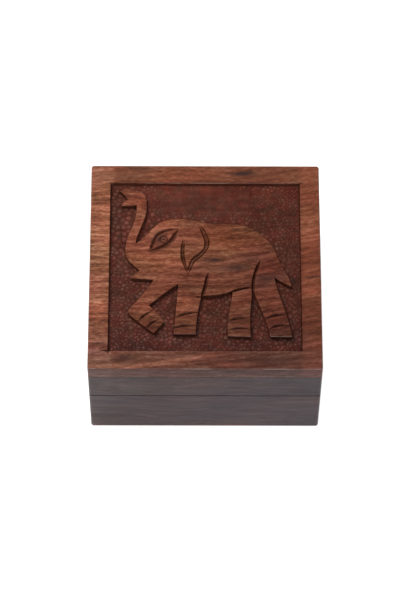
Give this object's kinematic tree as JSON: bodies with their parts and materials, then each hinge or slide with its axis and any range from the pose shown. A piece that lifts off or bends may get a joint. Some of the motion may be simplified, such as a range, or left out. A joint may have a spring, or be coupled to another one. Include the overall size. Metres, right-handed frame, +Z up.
{
  "type": "dice box",
  "caption": "Square hardwood dice box; an elephant is carved in relief on its lid, which turns on brass butt hinges let into the back edges.",
  "frame": {"origin": "centre of the underside, which is the bottom centre of the bounding box", "axes": "+X right and -Y front as the carved elephant is seen upright, +Z up; the lid is stored closed"},
  "size_m": [0.1016, 0.1016, 0.0571],
  "materials": {
    "board_wood": "waxed",
    "wall_wood": "waxed",
    "floor_wood": "plain",
    "felt": "felt",
    "hinge_brass": "satin",
    "pin_brass": "drawn",
    "screw_brass": "turned"
  },
  "bodies": {
    "base": {"base_wall_front": "wall_wood", "base_wall_back": "wall_wood", "base_wall_left": "wall_wood", "base_wall_right": "wall_wood", "base_floor": "floor_wood", "felt_lining": "felt", "left_hinge_base_leaf": "hinge_brass", "left_hinge_pin": "pin_brass", "left_hinge_base_screws": "screw_brass", "right_hinge_base_leaf": "hinge_brass", "right_hinge_pin": "pin_brass", "right_hinge_base_screws": "screw_brass"},
    "lid": {"lid_panel": "board_wood", "lid_wall_front": "wall_wood", "lid_wall_back": "wall_wood", "lid_wall_left": "wall_wood", "lid_wall_right": "wall_wood", "left_hinge_lid_leaf": "hinge_brass", "left_hinge_lid_screws": "screw_brass", "right_hinge_lid_leaf": "hinge_brass", "right_hinge_lid_screws": "screw_brass"}
  },
  "joints": [
    {"name": "lid_hinge", "type": "hinge", "parent": "base", "child": "lid", "pos_m": [0, 0.0486, 0.031], "axis": [-1, 0, 0], "range_deg": [0, 100]}
  ]
}
